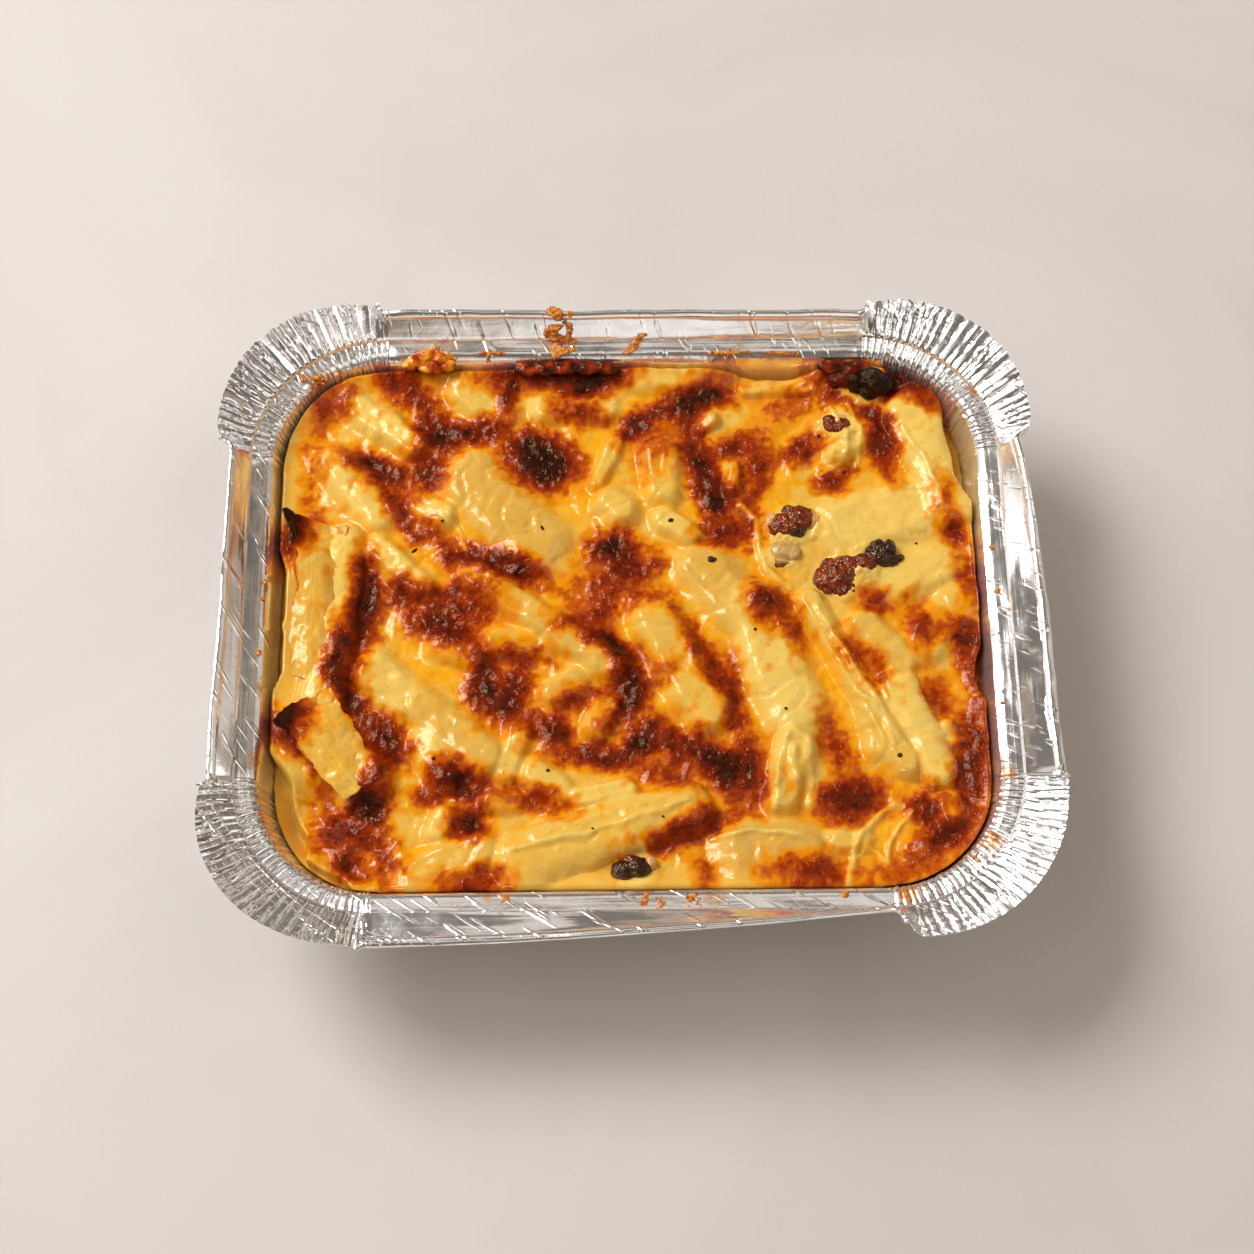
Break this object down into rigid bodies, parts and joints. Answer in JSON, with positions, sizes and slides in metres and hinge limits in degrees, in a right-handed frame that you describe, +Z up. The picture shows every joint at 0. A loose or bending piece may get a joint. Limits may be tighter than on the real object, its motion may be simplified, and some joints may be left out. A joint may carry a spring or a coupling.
{
  "type": "foil tray meal",
  "caption": "Pasta bake with browned melted cheese and bits of fried meat, in a rectangular foil tray with pleated corners and a rolled, bent rim",
  "frame": {"origin": "centre of the bounding box in plan, at the height of the tray's flat base", "axes": "+X along the tray's long side, to the picture's right; +Y along its short side, away from the camera; +Z up"},
  "size_m": [0.2106, 0.1744, 0.0493],
  "materials": {
    "foil": "thin pressed foil, bright and finely creased",
    "browned_cheese": "melted cheese over pasta, oily, from pale yellow to dark brown crust",
    "fried_meat": "dark red-brown fried meat, rough and glossy with fat",
    "charred_crust": "near black, crumbly, with small bright specks",
    "mushroom": "pale, soft and wet, browned on one side"
  },
  "bodies": {
    "root": {"foil_tray": "foil", "pasta_bake": "browned_cheese", "meat_bit_far": "fried_meat", "meat_bit_long": "fried_meat", "meat_bit_near": "fried_meat", "meat_bit_covered": "fried_meat", "charred_bit": "charred_crust", "mushroom_bit": "mushroom"}
  },
  "joints": []
}
